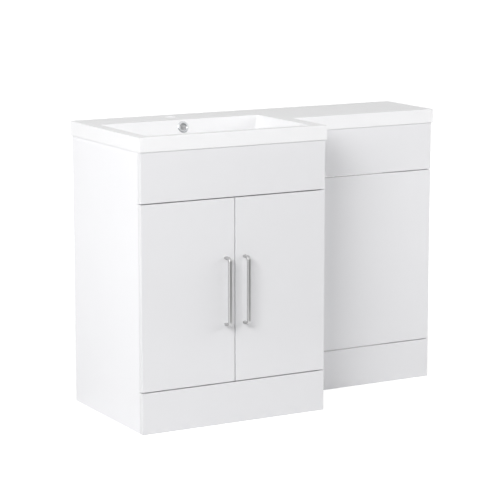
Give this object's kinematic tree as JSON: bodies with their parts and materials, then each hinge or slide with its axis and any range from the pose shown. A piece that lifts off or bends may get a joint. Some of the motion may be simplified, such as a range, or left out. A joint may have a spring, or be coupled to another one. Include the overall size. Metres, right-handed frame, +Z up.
{
  "type": "toilet and basin combination unit",
  "caption": "L-shaped white bathroom unit: basin cabinet with doors beside a shallower cistern cabinet with a pull-off panel, under one cast top with a rectangular bowl.",
  "frame": {"origin": "on the floor, in the middle of the length and of the depth, handles included", "axes": "+X along the front towards the cistern cabinet, +Y towards the wall, +Z up"},
  "size_m": [1.1, 0.48, 0.84],
  "materials": {
    "cast_basin": "gloss",
    "gloss_front": "white gloss wrap",
    "white_board": "white satin facing",
    "handle_metal": "satin",
    "beech": "bare",
    "seal_rubber": "matt",
    "fitting_plastic": "matt",
    "bright_chrome": "polished",
    "plated_steel": "plated"
  },
  "bodies": {
    "cabinet": {"basin_top": "cast_basin", "overflow_ring": "bright_chrome", "waste_body": "bright_chrome", "waste_seal": "seal_rubber", "waste_lower_seal": "seal_rubber", "waste_nut": "plated_steel", "basin_left_gable": "white_board", "basin_right_gable": "white_board", "basin_base": "white_board", "basin_front_rail": "white_board", "basin_back_rail_top": "white_board", "basin_back_rail_bottom": "white_board", "shelf": "white_board", "shelf_pegs": "plated_steel", "basin_fascia": "gloss_front", "basin_plinth": "gloss_front", "cistern_left_gable": "white_board", "cistern_right_gable": "white_board", "cistern_front_rail": "white_board", "cistern_back_rail_top": "white_board", "cistern_back_rail_bottom": "white_board", "cistern_fascia": "gloss_front", "cistern_plinth": "gloss_front", "panel_sockets": "fitting_plastic", "panel_socket_screws": "plated_steel", "cam_discs": "plated_steel", "cam_bolts": "plated_steel", "wood_dowels": "beech", "front_packers": "fitting_plastic", "front_screws": "plated_steel", "plinth_blocks": "fitting_plastic", "block_screws": "plated_steel", "cabinet_connectors": "plated_steel", "hinge_plates": "plated_steel", "hinge_plate_screws": "plated_steel", "hinge_arms": "plated_steel", "hinge_arm_pins": "plated_steel"},
    "waste_plug": {"waste_plug": "bright_chrome"},
    "access_panel": {"access_panel": "gloss_front", "panel_studs": "fitting_plastic"},
    "left_short_links": {"left_short_links": "plated_steel"},
    "left_long_links": {"left_long_links": "plated_steel"},
    "left_door": {"left_door": "gloss_front", "left_handle": "handle_metal", "left_handle_screws": "plated_steel", "left_door_buffers": "seal_rubber", "left_hinge_cups": "plated_steel", "left_cup_screws": "plated_steel", "left_cup_pins": "plated_steel"},
    "right_short_links": {"right_short_links": "plated_steel"},
    "right_long_links": {"right_long_links": "plated_steel"},
    "right_door": {"right_door": "gloss_front", "right_handle": "handle_metal", "right_handle_screws": "plated_steel", "right_door_buffers": "seal_rubber", "right_hinge_cups": "plated_steel", "right_cup_screws": "plated_steel", "right_cup_pins": "plated_steel"}
  },
  "joints": [
    {"name": "left_short_link_turn", "type": "hinge", "parent": "cabinet", "child": "left_short_links", "pos_m": [-0.5135, -0.1901, 0.387], "axis": [0, 0, 1], "range_deg": [0, 39]},
    {"name": "left_door_swing", "type": "hinge", "parent": "left_short_links", "child": "left_door", "pos_m": [-0.5337, -0.1984, 0.387], "axis": [0, 0, -1], "range_deg": [0, 133.95]},
    {"name": "left_long_link_turn", "type": "hinge", "parent": "cabinet", "child": "left_long_links", "pos_m": [-0.4985, -0.1903, 0.387], "axis": [0, 0, 1], "range_deg": [0, 33.3]},
    {"name": "right_short_link_turn", "type": "hinge", "parent": "cabinet", "child": "right_short_links", "pos_m": [0.0135, -0.1901, 0.387], "axis": [0, 0, -1], "range_deg": [0, 39]},
    {"name": "right_door_swing", "type": "hinge", "parent": "right_short_links", "child": "right_door", "pos_m": [0.0337, -0.1984, 0.387], "axis": [0, 0, 1], "range_deg": [0, 133.95]},
    {"name": "right_long_link_turn", "type": "hinge", "parent": "cabinet", "child": "right_long_links", "pos_m": [-0.0015, -0.1903, 0.387], "axis": [0, 0, -1], "range_deg": [0, 33.3]},
    {"name": "access_panel_pull", "type": "slide", "parent": "cabinet", "child": "access_panel", "axis": [0, -1, 0], "range_m": [0, 0.06]},
    {"name": "waste_plug_lift", "type": "slide", "parent": "cabinet", "child": "waste_plug", "axis": [0, 0, 1], "range_m": [0, 0.008]}
  ],
  "couplings": [
    {"joint": "left_short_link_turn", "follows": "left_door_swing", "ratio": 0.29078},
    {"joint": "left_long_link_turn", "follows": "left_door_swing", "ratio": 0.24823},
    {"joint": "right_short_link_turn", "follows": "right_door_swing", "ratio": 0.29078},
    {"joint": "right_long_link_turn", "follows": "right_door_swing", "ratio": 0.24823}
  ]
}
